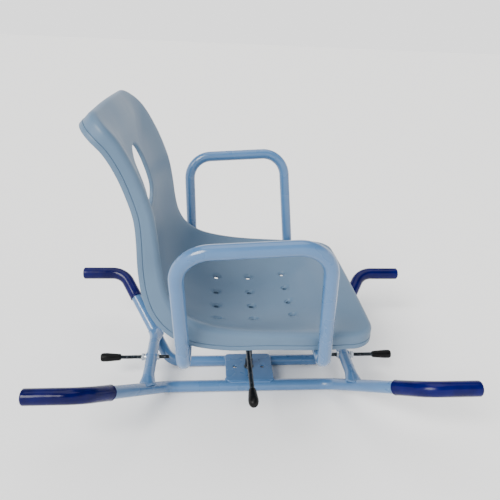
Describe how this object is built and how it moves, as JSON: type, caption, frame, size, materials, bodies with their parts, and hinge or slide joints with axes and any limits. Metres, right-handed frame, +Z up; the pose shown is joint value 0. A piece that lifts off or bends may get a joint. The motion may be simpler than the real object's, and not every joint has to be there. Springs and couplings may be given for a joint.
{
  "type": "swivel bath transfer seat",
  "caption": "Moulded chair with armrests that turns on a locking spindle in a bent tube frame, hung across a bathtub on sleeved ends and braced by screwed side stops.",
  "frame": {"origin": "centre of the bounding box's base, on the spindle's axis, at the underside of the frame's middle runs", "axes": "+X the way the seated user faces at rest and across the tub, +Y the user's left, +Z up along the spindle"},
  "size_m": [0.73, 0.5036, 0.5489],
  "materials": {
    "frame_paint": "gloss powder coat",
    "seat_plastic": "satin moulded",
    "grip_vinyl": "glossy dipped vinyl",
    "black_plastic": "semi gloss",
    "dark_steel": "dark oxide",
    "zinc_steel": "zinc plated"
  },
  "bodies": {
    "base_frame": {"frame_tube_right": "frame_paint", "frame_tube_left": "frame_paint", "cross_tube_front": "frame_paint", "cross_tube_rear": "frame_paint", "centre_plate": "frame_paint", "rim_grip_front_right": "grip_vinyl", "rim_grip_front_left": "grip_vinyl", "rim_grip_rear_right": "grip_vinyl", "rim_grip_rear_left": "grip_vinyl", "stop_boss_front": "zinc_steel", "stop_boss_rear": "zinc_steel", "stop_nut_front": "zinc_steel", "stop_nut_rear": "zinc_steel", "spindle": "dark_steel", "spindle_base_nut": "zinc_steel", "spindle_top_nut": "zinc_steel"},
    "chair": {"seat_shell": "seat_plastic", "carrier_plate": "frame_paint", "armrest_right": "frame_paint", "armrest_left": "frame_paint", "swivel_hub": "frame_paint", "pin_bush": "frame_paint", "lever_bracket": "frame_paint", "lever_pivot_pin": "zinc_steel", "seat_screw_front_right": "zinc_steel", "seat_screw_front_left": "zinc_steel", "seat_screw_rear_right": "zinc_steel", "seat_screw_rear_left": "zinc_steel"},
    "release_lever": {"lever_rod": "dark_steel", "lever_knob": "black_plastic"},
    "lock_pin": {"lock_pin": "dark_steel"},
    "side_stop_front": {"stop_rod_front": "dark_steel", "stop_tip_front": "black_plastic"},
    "side_stop_rear": {"stop_rod_rear": "dark_steel", "stop_tip_rear": "black_plastic"}
  },
  "joints": [
    {"name": "seat_swivel", "type": "hinge", "parent": "base_frame", "child": "chair", "pos_m": [0, 0, 0.15361], "axis": [0, 0, 1], "continuous": true},
    {"name": "lever_tilt", "type": "hinge", "parent": "chair", "child": "release_lever", "pos_m": [-0.019, -0.038, 0.14361], "axis": [1, 0, 0], "range_deg": [-5.4, 0]},
    {"name": "pin_lift", "type": "slide", "parent": "chair", "child": "lock_pin", "axis": [0, 0, 1], "range_m": [-0.0057, 0]},
    {"name": "side_stop_front_travel", "type": "slide", "parent": "base_frame", "child": "side_stop_front", "axis": [1, 0, 0], "range_m": [-0.035, 0.02]},
    {"name": "side_stop_rear_travel", "type": "slide", "parent": "base_frame", "child": "side_stop_rear", "axis": [-1, 0, 0], "range_m": [-0.035, 0.02]}
  ],
  "couplings": [
    {"joint": "pin_lift", "follows": "lever_tilt", "m_per_rad": 0.06}
  ]
}
